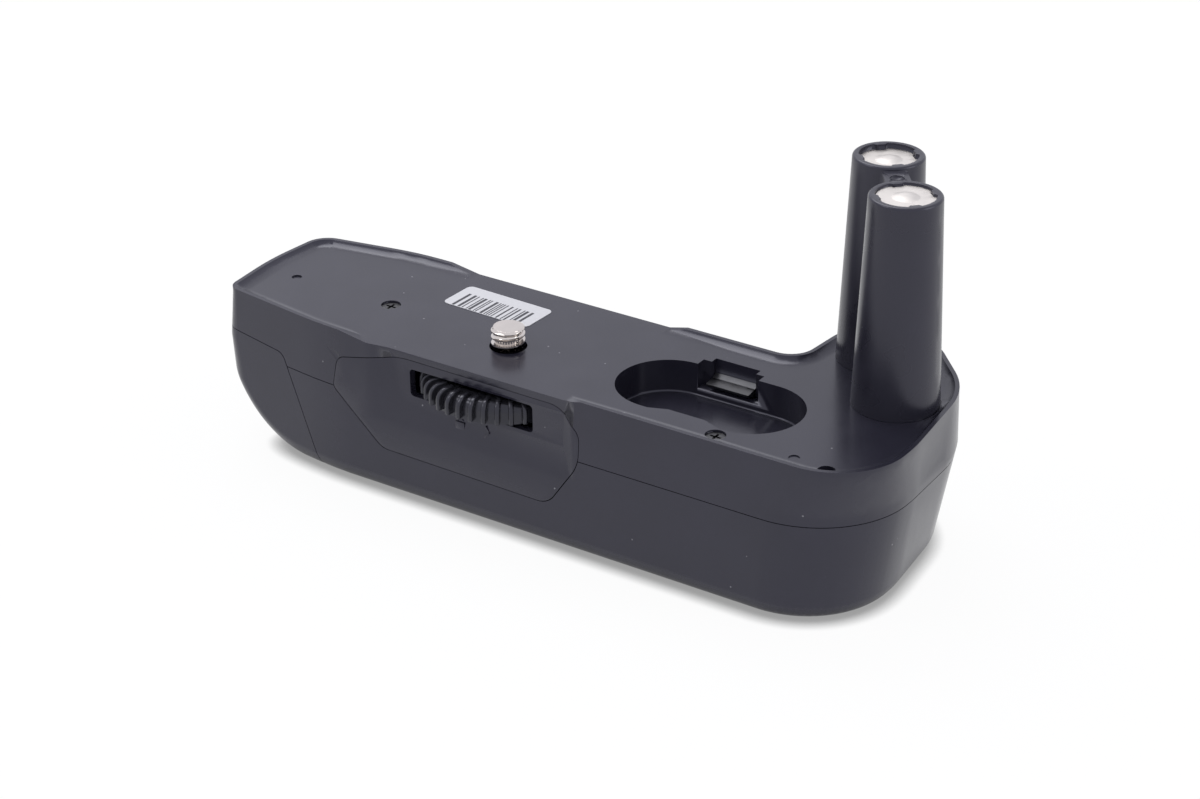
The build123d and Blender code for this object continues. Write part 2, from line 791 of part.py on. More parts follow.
# Rear panel in the near face, hooked behind the upper case, with the window for the wheel
outline, outline_radii = panel_outline(0)
hook_top = -deck_wall - running_gap
with BuildPart() as panel_hooks:
    add_prism(
        [
            (-panel_left + panel_hook, -panel_backing_depth),
            (-panel_left, -panel_depth * 0.35),
            (-panel_left + panel_hook * 4, hook_top),
            (panel_right - panel_hook, hook_top),
            (panel_right + panel_hook, -panel_depth * 0.25),
            (panel_right, -panel_backing_depth),
        ],
        near=inner_edge + clearance,
        far=backing_y,
    )
with BuildPart() as rear_panel:
    add(outside.part)
    add_prism(outline, outline_radii, Mode.INTERSECT, far=inner_edge + clearance)
    add(panel_hooks.part)
    window_top = window_top_gap - rim_depth
    window_bottom = rim_bottom - window_bottom_gap
    with BuildSketch(Plane.XZ.offset(-backing_y - overrun)):
        with Locations((0, (window_top + window_bottom) / 2)):
            RectangleRounded(2 * window_half, window_top - window_bottom, window_round)
    extrude(amount=near_depth + overrun, mode=Mode.SUBTRACT)
finish(rear_panel, "rear_panel")

# Contact tower: two tapered posts and the web between them, standing on the deck
def post_radius(height):
    return post_base_radius + (post_top_radius - post_base_radius) * height / post_height


with BuildPart() as contact_tower:
    for place in post_places:
        with BuildSketch(Plane.XY.offset(thin_gap)):
            with Locations(place):
                Circle(post_radius(0))
        with BuildSketch(Plane.XY.offset(post_height)):
            with Locations(place):
                Circle(post_radius(post_height))
        loft()
    fillet(contact_tower.edges().filter_by(GeomType.CIRCLE).group_by(Axis.Z)[-1], tip_round)
    across = Vector(*far_post) - Vector(*near_post)
    middle = (Vector(*far_post) + Vector(*near_post)) / 2
    with BuildSketch(Plane.XY.offset(thin_gap)):
        with Locations(Location(middle, (0, 0, degrees(atan2(across.Y, across.X))))):
            Rectangle(across.length, bridge_width)
    extrude(amount=post_height - bridge_drop - thin_gap)
    bridge_top = post_height - bridge_drop
    cut_hole(middle, bridge_top - bridge_hole_depth, post_height, bridge_hole_radius)
    # Hollow of each post, its seat for the contact and the four notches in its rim
    for (x, y), tip_seat in zip(post_places, tip_seats):
        with BuildSketch(Plane.XY):
            with Locations((x, y)):
                Circle(post_radius(0) - post_wall)
        with BuildSketch(Plane.XY.offset(tip_seat - 2 * wall)):
            with Locations((x, y)):
                Circle(post_radius(post_height) - post_wall - thin_gap)
        loft(mode=Mode.SUBTRACT)
        cut_hole((x, y), tip_seat - 3 * wall, post_height, tip_seat_radius)
        cut_hole((x, y), tip_seat, post_height + overrun, tip_recess_radius)
        with BuildSketch(Plane.XY.offset(tip_seat)):
            with Locations((x, y)):
                Rectangle(2 * tip_notch_radius, tip_notch_width)
                Rectangle(tip_notch_width, 2 * tip_notch_radius)
                Circle(tip_notch_radius, mode=Mode.INTERSECT)
        extrude(amount=post_height + overrun - tip_seat, mode=Mode.SUBTRACT)
    for place in tower_screw_places:
        add_ring(place, thin_gap, post_boss_height, post_screw_boss)
        cut_hole(place, -overrun, post_boss_height - overrun, pilot_radius)
finish(contact_tower, "contact_tower")

# Contact plates in the tops of the posts, with four tabs and a dome
contact_names = ("tower_contact_near", "tower_contact_far")
for name, (x, y), tip_seat in zip(contact_names, post_places, tip_seats):
    with BuildPart() as tip_contact:
        with BuildSketch(Plane.XY.offset(tip_seat)):
            with Locations((x, y)):
                Rectangle(2 * tip_notch_radius, tip_notch_width - 2 * tip_plate_gap)
                Rectangle(tip_notch_width - 2 * tip_plate_gap, 2 * tip_notch_radius)
                Circle(tip_recess_radius - tip_plate_gap)
                Circle(tip_notch_radius - tip_plate_gap, mode=Mode.INTERSECT)
        extrude(amount=contact_plate)
        with BuildSketch(Plane.XY.offset(tip_seat + contact_plate)):
            with Locations((x, y)):
                Circle(tip_dome_radius)
        with BuildSketch(Plane.XY.offset(tip_seat + contact_plate + tip_dome_height)):
            with Locations((x, y)):
                Circle(tip_dome_radius / 2)
        loft()
    finish(tip_contact, name)

# Screws that hold the tower from under the deck
with BuildPart() as tower_screws:
    for place in tower_screw_places:
        add_screw(place, -deck_wall, tower_screw_length, up=True)
finish(tower_screws, "tower_screws")

# Thumb wheel: ribbed rim, web and hub with a hexagonal socket for the screw's head
with BuildPart() as thumb_wheel:
    add_ring((0, 0), rim_bottom, -rim_depth, wheel_radius, wheel_radius - rim_wall)
    circles = thumb_wheel.edges().filter_by(GeomType.CIRCLE)
    rim_edges = circles.filter_by(lambda edge: edge.radius > wheel_radius - rib_depth)
    fillet(rim_edges, rim_round)
    with BuildSketch(Plane.XY.offset(rim_bottom - overrun)):
        with PolarLocations(wheel_radius, wheel_ribs):
            Rectangle(2 * rib_depth, 2 * pi * wheel_radius / wheel_ribs - rib_width)
    extrude(amount=rim_height + 2 * overrun, mode=Mode.SUBTRACT)
    web_bottom = (rim_bottom - rim_depth - web_thickness) / 2
    add_ring((0, 0), web_bottom, web_bottom + web_thickness, wheel_radius - rim_wall / 2)
    add_ring((0, 0), hub_bottom, hub_top, hub_radius)
    with BuildSketch(Plane.XY.offset(socket_floor)):
        RegularPolygon((hex_across + running_gap) / 2, 6, major_radius=False)
    extrude(amount=hub_height, mode=Mode.SUBTRACT)
finish(thumb_wheel, "thumb_wheel")

# Camera screw: thread lands, a relieved shank held captive by the deck, a hexagonal head and a spring spigot
with BuildPart() as camera_screw:
    add_ring((0, 0), hex_top, screw_top, thread_root)
    chamfer(camera_screw.faces().sort_by(Axis.Z)[-1].edges(), (thread_radius - thread_root) / 2)
    for land in range(land_count):
        base = land_rise + land * thread_pitch
        add_ring((0, 0), base, base + land_height, thread_radius)
        flank = (thread_pitch - land_height) / 3
        with BuildSketch(Plane.XZ):
            top = base + land_height
            upper, lower = top + flank, base - flank
            polygon_face((0, top), (thread_radius, top), (thread_root, upper), (0, upper))
            if land:
                polygon_face((0, base), (thread_radius, base), (thread_root, lower), (0, lower))
        revolve(axis=Axis.Z)
    add_ring((0, 0), hex_top, -thin_gap, screw_shank_radius)
    with BuildSketch(Plane.XY.offset(hex_top - hex_height)):
        RegularPolygon(hex_across / 2, 6, major_radius=False)
    extrude(amount=hex_height)
    add_ring((0, 0), hex_top - hex_height - hex_spigot, hex_top - hex_height, spigot_radius)
finish(camera_screw, "camera_screw")

# Spring that lifts the camera screw
screw_spring_radius = spigot_radius + running_gap + 2 * screw_spring_wire
spring_top_z = hex_top - hex_height - thin_gap
with BuildPart() as screw_spring:
    spring_foot = (0, 0, socket_floor + thin_gap)
    spring_length = spring_top_z - socket_floor - thin_gap
    add(coil(spring_foot, (0, 0, 1), screw_spring_radius, screw_spring_wire, screw_spring_turns,
             spring_length))
finish(screw_spring, "screw_spring")

# Carrier plate that holds the wheel up against the deck's boss
with BuildPart() as wheel_carrier:
    add_ring((0, 0), carrier_bottom, carrier_top, hub_radius + carrier_rim)
    for place in carrier_places:
        reach = Vector(*place)
        with BuildSketch(Plane.XY.offset(carrier_bottom)):
            with Locations(Location(reach / 2, (0, 0, degrees(atan2(reach.Y, reach.X))))):
                Rectangle(reach.length, carrier_arm)
            with Locations(place):
                Circle(carrier_post_radius)
        extrude(amount=carrier_thickness)
        cut_hole(place, carrier_bottom - overrun, carrier_top + overrun, screw_radius + running_gap)
    cut_hole((0, 0), carrier_bottom - overrun, carrier_top + overrun, hub_radius + thin_gap)
finish(wheel_carrier, "wheel_carrier")

with BuildPart() as carrier_screws:
    for place in carrier_places:
        add_screw(place, carrier_bottom, carrier_screw_length, up=True)
finish(carrier_screws, "carrier_screws")

# Sprung clip that keeps the camera's lid in the pocket, bent from sheet
clip_foot_y = clip_edge_y + clip_notch_depth - running_gap
clip_foot_z = -clip_recess_floor + thin_gap
clip_crest_y = clip_foot_y - clip_sheet
clip_fold_y = clip_crest_y - clip_fold[0]
clip_tip_y = clip_crest_y - clip_tip[0]
clip_outer = [
    (clip_foot_y, clip_foot_z),
    (clip_foot_y, -clip_crest_depth - clip_sheet),
    (clip_crest_y, -clip_crest_depth),
    (clip_fold_y, -clip_fold[1]),
    (clip_tip_y, -clip_tip[1]),
]
clip_inner = [
    (clip_foot_y - clip_sheet, clip_foot_z),
    (clip_foot_y - clip_sheet, -clip_crest_depth - clip_sheet),
    (clip_fold_y, -clip_fold[1] - clip_sheet),
    (clip_tip_y, -clip_tip[1] - clip_sheet),
]
with BuildPart() as lid_clip:
    with BuildSketch(Plane.YZ.offset(clip_x - clip_width / 2)):
        polygon_face(*clip_outer, *reversed(clip_inner))
    extrude(amount=clip_width)
    # Tab that is bent down at the right end
    clip_right = clip_x + clip_width / 2
    add_block((clip_right - clip_tab[0], clip_right), (clip_fold_y - clip_sheet, clip_fold_y),
              (-clip_fold[1] - clip_tab[1], -clip_fold[1]))
finish(lid_clip, "lid_clip")

# Tray for the cells in two halves that meet at the channels' axes
relief_top = socket_depth - case_height + running_gap
socket_pad_radius = socket_flange_radius + wall / 2


def tray_outline():
    # Outline of the tray seen along X, with cut corners
    low, high = tray_y - tray_half_width, tray_y + tray_half_width
    polygon_face(
        (low, tray_bottom + tray_chamfer),
        (low, tray_top - tray_chamfer),
        (low + tray_chamfer, tray_top),
        (high - tray_chamfer, tray_top),
        (high, tray_top - tray_chamfer),
        (high, tray_bottom + tray_chamfer),
        (high - tray_chamfer, tray_bottom),
        (low + tray_chamfer, tray_bottom),
    )


with BuildPart() as whole_tray:
    with BuildSketch(Plane.YZ.offset(tray_left)):
        tray_outline()
    extrude(amount=tray_right - tray_left)
    add(room, mode=Mode.INTERSECT)
    for place in deck_screw_places:
        add_ring(place, tray_top - tray_chamfer, tray_seat_z, tray_boss_radius)
    with BuildSketch(Plane.YZ.offset(tray_left)):
        with Locations((tray_y - channel_offset, cell_z), (tray_y + channel_offset, cell_z)):
            Circle(cell_bore_radius)
    extrude(amount=tray_right - tray_left, mode=Mode.SUBTRACT)
    for place in deck_screw_places:
        cut_hole(place, -screw_recess - screw_head - deck_screw_length - overrun, 0, pilot_radius)
    for place in tray_screw_places:
        cut_hole(place, tray_bottom - overrun, case_pad_top + running_gap, boss_radius + clearance)
        pilot_top = case_screw_seat + case_screw_length + overrun / 2
        cut_hole(place, tray_bottom - overrun, pilot_top, pilot_radius)
    cut_hole((0, tray_y), tray_bottom - overrun, socket_pad_top + running_gap, socket_pad_radius + clearance)
    cut_hole((0, tray_y), tray_bottom - overrun, relief_top, socket_outer_radius + clearance)
    # Notches through which the leads leave the channels
    for side in (-1, 1):
        lead_y = tray_y + side * channel_offset
        notch = (lead_y - lead_width / 2 - running_gap, lead_y + lead_width / 2 + running_gap)
        run = (contact_x - contact_plate - thin_gap, tray_right + overrun)
        add_block(run, notch, (cell_z, 0), Mode.SUBTRACT)

# Roof of the tray, hung from the deck by two bosses
with BuildPart() as cell_tray:
    add(whole_tray.part)
    keep_between(cell_z, 0)
finish(cell_tray, "cell_tray")

# Cradle of the tray, screwed to the underside
with BuildPart() as tray_cradle:
    add(whole_tray.part)
    keep_between(far_below, cell_z)
finish(tray_cradle, "tray_cradle")

# Cap that closes the channels' far end behind the contacts
with BuildPart() as tray_end_cap:
    with BuildSketch(Plane.YZ.offset(tray_right + thin_gap)):
        tray_outline()
    extrude(amount=end_cap_thickness)
    add(room, mode=Mode.INTERSECT)
    for side in (-1, 1):
        lead_y = tray_y + side * channel_offset
        notch = (lead_y - lead_width / 2 - running_gap, lead_y + lead_width / 2 + running_gap)
        add_block((tray_right - overrun, tray_right + 2 * lead_sheet + thin_gap), notch,
                  (tray_top - cell_bore_radius / 2, 0), Mode.SUBTRACT)
finish(tray_end_cap, "tray_end_cap")


def contact_tail(channel_y):
    # Disc of a contact at the channels' far end and the tail that rises out of the channel
    with BuildSketch(Plane.YZ.offset(contact_x - contact_plate)) as disc:
        with Locations((channel_y, cell_z)):
            Circle(contact_radius)
        with Locations((channel_y, (cell_z + tray_top + wall) / 2)):
            Rectangle(lead_width, tray_top + wall - cell_z)
    extrude(disc.sketch, amount=contact_plate)


with BuildPart() as end_plate_contact:
    contact_tail(tray_y - channel_offset)
    with BuildSketch(Plane.YZ.offset(cell_right + clearance)):
        with Locations((tray_y - channel_offset, cell_z)):
            Circle(contact_button_radius)
    extrude(amount=contact_x - contact_plate - cell_right - clearance)
finish(end_plate_contact, "end_plate_contact")

with BuildPart() as end_spring_contact:
    contact_tail(tray_y + channel_offset)
    coil_foot = (contact_x - contact_plate + contact_spring_wire / 4, tray_y + channel_offset, cell_z)
    add(coil(coil_foot, (-1, 0, 0), contact_spring_radius, contact_spring_wire, contact_spring_turns,
             contact_spring_length))
finish(end_spring_contact, "end_spring_contact")

# Leads from the end contacts up through the posts
lead_low = tray_top + thin_gap
with BuildPart() as tower_lead_near:
    lead_high = tip_seats[0] - thin_gap
    lead_y = tray_y + channel_offset
    sheet = (contact_x, contact_x + lead_sheet)
    near_side, far_side = lead_y - lead_width / 2, near_post[1] + lead_width / 2
    add_block(sheet, (near_side, near_side + lead_width), (lead_low, -lead_depth))
    add_block(sheet, (near_side, far_side), (-lead_depth, lead_width - lead_depth))
    add_block(sheet, (far_side - lead_width, far_side), (-lead_depth, lead_high))
    add_block((contact_x, near_post[0]), (far_side - lead_width, far_side),
              (lead_high - lead_sheet, lead_high))
finish(tower_lead_near, "tower_lead_near")

with BuildPart() as tower_lead_far:
    lead_high = tip_seats[1] - thin_gap
    lead_y = tray_y - channel_offset
    near_side, far_side = lead_y - lead_width / 2, far_post[1] + lead_width / 2
    run = (far_lead_x - lead_width / 2, far_lead_x + lead_width / 2)
    low_level = (-lead_depth, lead_sheet - lead_depth)
    high_level = (lead_high - lead_sheet, lead_high)
    upright = (far_lead_x - lead_sheet / 2, far_lead_x + lead_sheet / 2)
    add_block(sheet, (near_side, near_side + lead_width), (lead_low, -lead_depth))
    add_block((run[0], contact_x + lead_sheet), (near_side, near_side + lead_width), low_level)
    add_block(run, (near_side, far_side), low_level)
    add_block(upright, (far_side - lead_width, far_side), (-lead_depth, lead_high))
    add_block((far_post[0], upright[1]), (far_side - lead_width, far_side), high_level)
finish(tower_lead_far, "tower_lead_far")

with BuildPart() as deck_screws:
    for place in deck_screw_places:
        add_screw(place, -screw_recess - screw_head, deck_screw_length)
finish(deck_screws, "deck_screws")

with BuildPart() as case_screws:
    for place in shell_screw_places + tray_screw_places:
        add_screw(place, case_screw_seat, case_screw_length, up=True)
finish(case_screws, "case_screws")

# Threaded socket for a tripod, between the channels
with BuildPart() as tripod_socket:
    add_ring((0, tray_y), -case_height, socket_depth - case_height, socket_outer_radius)
    add_ring((0, tray_y), -case_height, socket_flange - case_height - thin_gap, socket_flange_radius)
    cut_hole((0, tray_y), far_below, socket_depth - case_height + overrun, thread_radius)
finish(tripod_socket, "tripod_socket")

# Plain white label on the deck
with BuildPart() as deck_label:
    with BuildSketch(Plane.XY):
        with Locations(Location((-label_left, far_depth - label_from_far), (0, 0, label_turn))):
            RectangleRounded(label_width, label_height, label_round)
    extrude(amount=label_thickness)
finish(deck_label, "deck_label")

# Battery door: the left end of the lower case, with its two knuckles and the guides of its latch
rail_near = latch_y - latch_width / 2 - running_gap
rail_far = latch_y + latch_width / 2 + running_gap
rail_back = latch_back + running_gap + rail_thickness
with BuildPart() as battery_door:
    add(outside.part)
    add_prism(door_region(seam_gap), door_radii, Mode.INTERSECT)
    add(inner_form, mode=Mode.SUBTRACT)
    # Guides: two rails with lips behind the latch, tied by the seat of its spring
    guide_top = -(door_corner_depth + running_gap)
    guide_heights = (latch_bottom - latch_travel, guide_top)
    for low, high in ((rail_near - rail_thickness, rail_near), (rail_far, rail_far + rail_thickness)):
        add_block((guide_x, rail_back), (low, high), guide_heights)
    rails_low, rails_high = rail_near - rail_thickness, rail_far + rail_thickness
    for low, high in ((rails_low, rail_near + rail_lip), (rail_far - rail_lip, rails_high)):
        add_block((latch_back + running_gap, rail_back), (low, high), guide_heights)
    add_block((latch_back + running_gap, spring_x + latch_spring_radius), (rails_low, rails_high),
              (latch_bottom, spring_bottom - thin_gap))
    # Ribs that carry the contact block
    for rib_y in (tray_y - channel_offset, tray_y + channel_offset):
        add_block((guide_x, block_x - thin_gap), (rib_y - door_rib / 2, rib_y + door_rib / 2),
                  (block_bottom, block_top))
    add(outside.part, mode=Mode.INTERSECT)
    # Recess and slot for the latch's thumb pad
    recess_x = -end_reach + recess_depth
    add_block((far_left, recess_x), (latch_y - recess_width / 2, latch_y + recess_width / 2),
              (-pad_depth + overrun - recess_height, -pad_depth + overrun), Mode.SUBTRACT)
    slot_low = -latch_neck_depth - latch_neck_height - latch_travel - running_gap
    add_block((far_left, latch_x - running_gap),
              (latch_y - latch_neck_width / 2 - running_gap, latch_y + latch_neck_width / 2 + running_gap),
              (slot_low, running_gap - latch_neck_depth), Mode.SUBTRACT)
    # Outer knuckles of the hinge
    with BuildSketch(Plane.XZ.offset(-barrel_far)):
        with Locations((hinge_x, hinge_z)):
            Circle(notch_radius)
    extrude(amount=barrel_far + barrel_near, mode=Mode.SUBTRACT)
    for near, far in ((-barrel_near + running_gap, -barrel_near + knuckle_length),
                      (barrel_far - knuckle_length, barrel_far - running_gap)):
        with BuildSketch(Plane.XZ.offset(-far)):
            with Locations((hinge_x, hinge_z)):
                Circle(barrel_radius)
            with Locations((hinge_x - notch_radius, hinge_z + barrel_radius / 2)):
                Rectangle(2 * notch_radius, barrel_radius)
            with Locations((hinge_x, hinge_z)):
                Circle(pin_radius + pin_gap, mode=Mode.SUBTRACT)
        extrude(amount=far - near)
finish(battery_door, "battery_door")

with BuildPart() as door_hinge_pin:
    with BuildSketch(Plane.XZ.offset(-barrel_far + pin_inset)):
        with Locations((hinge_x, hinge_z)):
            Circle(pin_radius)
    extrude(amount=barrel_far + barrel_near - 2 * pin_inset)
finish(door_hinge_pin, "door_hinge_pin")

# Block on the door that carries the bridge between the two rows of cells
with BuildPart() as door_contact_block:
    add_block((block_x, block_x + block_thickness), (tray_y - block_half, tray_y + block_half),
              (block_bottom, block_top))
    fillet(door_contact_block.edges().filter_by(Axis.X), block_round)
    add(room, mode=Mode.INTERSECT)
    bridge_x = block_x + block_thickness
    add_block((bridge_x - contact_plate, bridge_x + overrun),
              (tray_y - bridge_half - thin_gap, tray_y + bridge_half + thin_gap),
              (cell_z - bridge_height / 2 - thin_gap, cell_z + bridge_height / 2 + thin_gap), Mode.SUBTRACT)
finish(door_contact_block, "door_contact_block")

with BuildPart() as door_bridge_contact:
    add_block((bridge_x - contact_plate, bridge_x), (tray_y - bridge_half, tray_y + bridge_half),
              (cell_z - bridge_height / 2, cell_z + bridge_height / 2))
    with BuildSketch(Plane.YZ.offset(bridge_x)):
        with Locations((tray_y + channel_offset, cell_z)):
            Circle(contact_button_radius)
    extrude(amount=cell_left - clearance - bridge_x)
    coil_foot = (bridge_x - contact_spring_wire / 4, tray_y - channel_offset, cell_z)
    add(coil(coil_foot, (1, 0, 0), contact_spring_radius, contact_spring_wire, contact_spring_turns,
             contact_spring_length))
finish(door_bridge_contact, "door_bridge_contact")

# Latch: slide with a bolt behind the strike, a neck through the door and a ribbed thumb pad
with BuildPart() as door_latch:
    pad_face = -end_reach - pad_proud
    pad_across = (latch_y - pad_width / 2, latch_y + pad_width / 2)
    add_block((latch_x, latch_back), (rail_near + running_gap, rail_far - running_gap),
              (latch_bottom, -latch_top_depth))
    add_block((pad_back, latch_x), (latch_y - latch_neck_width / 2, latch_y + latch_neck_width / 2),
              (-latch_neck_depth - latch_neck_height, -latch_neck_depth))
    add_block((pad_face, pad_back), pad_across, (-pad_depth - pad_height, -pad_depth))
    for row in range(pad_grooves):
        groove_z = -pad_depth - pad_height * (row + 1) / (pad_grooves + 1)
        add_block((pad_face - overrun, -end_reach), pad_across,
                  (groove_z - pad_groove / 2, groove_z + pad_groove / 2), Mode.SUBTRACT)
    add_block((latch_back, spring_x + latch_spring_radius),
              (latch_y - latch_spring_radius, latch_y + latch_spring_radius),
              (spring_top + thin_gap, spring_top + latch_tab))
finish(door_latch, "door_latch")

with BuildPart() as latch_spring:
    add(coil((spring_x, latch_y, spring_bottom), (0, 0, 1), latch_spring_radius, latch_spring_wire,
             latch_spring_turns, latch_spring_length))
finish(latch_spring, "latch_spring")
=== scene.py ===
import bpy, bmesh, json, math, random
from mathutils import Matrix, Vector


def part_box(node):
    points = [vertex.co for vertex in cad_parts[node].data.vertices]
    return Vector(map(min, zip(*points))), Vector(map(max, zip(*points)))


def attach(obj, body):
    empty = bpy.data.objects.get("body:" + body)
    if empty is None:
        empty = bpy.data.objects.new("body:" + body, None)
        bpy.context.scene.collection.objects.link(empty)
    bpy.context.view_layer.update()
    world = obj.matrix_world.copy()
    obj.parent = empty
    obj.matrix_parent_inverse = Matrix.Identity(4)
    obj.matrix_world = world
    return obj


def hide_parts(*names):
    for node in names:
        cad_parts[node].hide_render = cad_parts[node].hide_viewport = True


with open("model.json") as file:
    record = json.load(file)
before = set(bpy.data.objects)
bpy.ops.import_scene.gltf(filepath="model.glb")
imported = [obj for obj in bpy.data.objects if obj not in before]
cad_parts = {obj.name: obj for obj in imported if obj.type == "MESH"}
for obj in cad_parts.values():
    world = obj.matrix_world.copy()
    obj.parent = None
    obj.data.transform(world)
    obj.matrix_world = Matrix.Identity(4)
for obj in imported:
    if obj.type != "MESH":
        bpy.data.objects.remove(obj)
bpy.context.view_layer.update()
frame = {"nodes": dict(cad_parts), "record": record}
nodes = frame["nodes"]
print("frame loaded,", len(nodes), "nodes")

mm = 0.001
tau = 2 * math.pi
random.seed(11)


# the camera stands where the photograph was taken from

cameraView = {
    "azimuth": 0.585013,
    "elevation": 0.475988,
    "roll": -0.004505,
    "place": (0.25934, -0.36087, 0.21760),
    "lens": 80.05,
    "sensor": 36.0,
    "nearest": 0.01,
    "farthest": 50,
}


def addCamera():
    camera = bpy.data.objects.new("camera", bpy.data.cameras.new("camera"))
    bpy.context.scene.collection.objects.link(camera)
    turn = Matrix.Rotation(cameraView["azimuth"], 4, "Z")
    tilt = Matrix.Rotation(math.pi / 2 - cameraView["elevation"], 4, "X")
    roll = Matrix.Rotation(cameraView["roll"], 4, "Z")
    camera.matrix_world = Matrix.Translation(cameraView["place"]) @ turn @ tilt @ roll
    camera.data.lens = cameraView["lens"]
    camera.data.sensor_width = cameraView["sensor"]
    camera.data.clip_start = cameraView["nearest"]
    camera.data.clip_end = cameraView["farthest"]
    bpy.context.scene.camera = camera


addCamera()
print("camera placed")


# floor, backdrop and light

studio = {
    "floorHeight": -0.0312,
    "floorSize": 8.0,
    "floorColor": (0.93, 0.93, 0.945),
    "floorRoughness": 0.9,
    "floorGlow": 0.94,  # share of plain white in what the camera and the gloss see of the floor
    # the next four entries set the painted contact shadow in the floor's glow
    "paintedShadowReach": 0.004,
    "paintedShadowOpen": (0.35, 0.85),  # how open the floor is, from the darkest painted contact shadow to plain white
    "paintedShadowTone": 0.35,
    "paintedShadowSamples": 16,
    "worldStrength": 0.82,
    "worldTint": (0.925, 0.93, 1.0),
    "worldGloss": 1.0,
    "lampAim": (0.01, 0.0, 0.0),
    "keyPlace": (-0.45, 0.35, 0.85),
    "keySize": 0.7,
    "keyPower": 4.0,
    "sidePlace": (0.95, 0.25, 0.45),
    "sideSize": 0.6,
    "sidePower": 2.0,
    "frontPlace": (-0.5, -0.42, 0.75),
    "frontSize": 0.35,
    "frontPower": 1.1,
}


def addNode(tree, kind, values=None, **links):
    # makes a node; values go on its sockets, links name the sockets that other outputs feed
    made = tree.nodes.new(kind)
    for name, value in (values or {}).items():
        if name in made.inputs:
            made.inputs[name].default_value = value
        else:
            setattr(made, name, value)
    for name, output in links.items():
        tree.links.new(output, made.inputs[name.replace("_", " ")])
    return made


def addMath(tree, operation, first, second):
    # works on two values; the second is an output or a plain number
    made = addNode(tree, "ShaderNodeMath", {"operation": operation})
    tree.links.new(first, made.inputs[0])
    if isinstance(second, float):
        made.inputs[1].default_value = second
    else:
        tree.links.new(second, made.inputs[1])
    return made.outputs[0]


def addBlend(tree, share, low, high):
    # blends two colors by a share; either color may be an output
    made = addNode(tree, "ShaderNodeMix", {"data_type": "RGBA"})
    tree.links.new(share, made.inputs[0])
    for socket, color in ((6, low), (7, high)):
        if isinstance(color, tuple):
            made.inputs[socket].default_value = (*color, 1)
        else:
            tree.links.new(color, made.inputs[socket])
    return made.outputs[2]


def addLamp(which):
    place = studio[which + "Place"]
    lamp = bpy.data.lights.new(which + "Lamp", "AREA")
    lamp.shape = "DISK"
    lamp.size = studio[which + "Size"]
    lamp.energy = studio[which + "Power"]
    made = bpy.data.objects.new(which + "Lamp", lamp)
    bpy.context.scene.collection.objects.link(made)
    made.location = place
    made.rotation_euler = (Vector(studio["lampAim"]) - Vector(place)).to_track_quat("-Z", "Y").to_euler()


def makePaper():
    # pale paper; to the camera it is mostly plain white glow, with a painted contact shadow, drawn from
    # occlusion, where something stands on it
    paper = bpy.data.materials.new("studioPaper")
    paper.use_nodes = True
    tree = paper.node_tree
    shader = tree.nodes["Principled BSDF"]
    shader.inputs["Base Color"].default_value = (*studio["floorColor"], 1)
    shader.inputs["Roughness"].default_value = studio["floorRoughness"]
    shader.inputs["Specular IOR Level"].default_value = 0.0
    # painted contact shadow: occlusion darkens the glow that the camera and the gloss see
    paintedShadowCloseness = addNode(tree, "ShaderNodeAmbientOcclusion",
                        {"Distance": studio["paintedShadowReach"], "samples": studio["paintedShadowSamples"]})
    darkest, plain = studio["paintedShadowOpen"]
    tone = addNode(tree, "ShaderNodeMapRange",
                   {"From Min": darkest, "From Max": plain, "To Min": studio["paintedShadowTone"]},
                   Value=paintedShadowCloseness.outputs["AO"])
    glow = addNode(tree, "ShaderNodeEmission", Strength=tone.outputs["Result"])
    rays = addNode(tree, "ShaderNodeLightPath")
    seen = addMath(tree, "MAXIMUM", rays.outputs["Is Camera Ray"], rays.outputs["Is Glossy Ray"])
    mixed = addNode(tree, "ShaderNodeMixShader", Fac=addMath(tree, "MULTIPLY", seen, studio["floorGlow"]))
    tree.links.new(shader.outputs["BSDF"], mixed.inputs[1])
    tree.links.new(glow.outputs["Emission"], mixed.inputs[2])
    tree.links.new(mixed.outputs["Shader"], tree.nodes["Material Output"].inputs["Surface"])
    return paper


def addStudio():
    scene = bpy.context.scene
    scene.view_settings.view_transform = "Standard"
    bpy.ops.mesh.primitive_plane_add(size=studio["floorSize"], location=(0, 0, studio["floorHeight"]))
    floor = bpy.context.object
    floor.name = "floor"
    floor.data.materials.append(makePaper())

    world = bpy.data.worlds.new("studio")
    scene.world = world
    world.use_nodes = True
    tree = world.node_tree
    rays = addNode(tree, "ShaderNodeLightPath")
    background = tree.nodes["Background"]
    tint = addBlend(tree, rays.outputs["Is Camera Ray"], studio["worldTint"], (1, 1, 1))
    tree.links.new(tint, background.inputs["Color"])
    seen = addMath(tree, "MAXIMUM", rays.outputs["Is Camera Ray"], rays.outputs["Is Glossy Ray"])
    strength = addNode(tree, "ShaderNodeMapRange",
                       {"To Min": studio["worldStrength"], "To Max": studio["worldGloss"]}, Value=seen)
    tree.links.new(strength.outputs["Result"], background.inputs["Strength"])
    for which in ("key", "side", "front"):
        addLamp(which)


def deselectAll():
    for item in bpy.context.selected_objects:
        item.select_set(False)


deselectAll()
addStudio()
print("studio lit")


# finishes

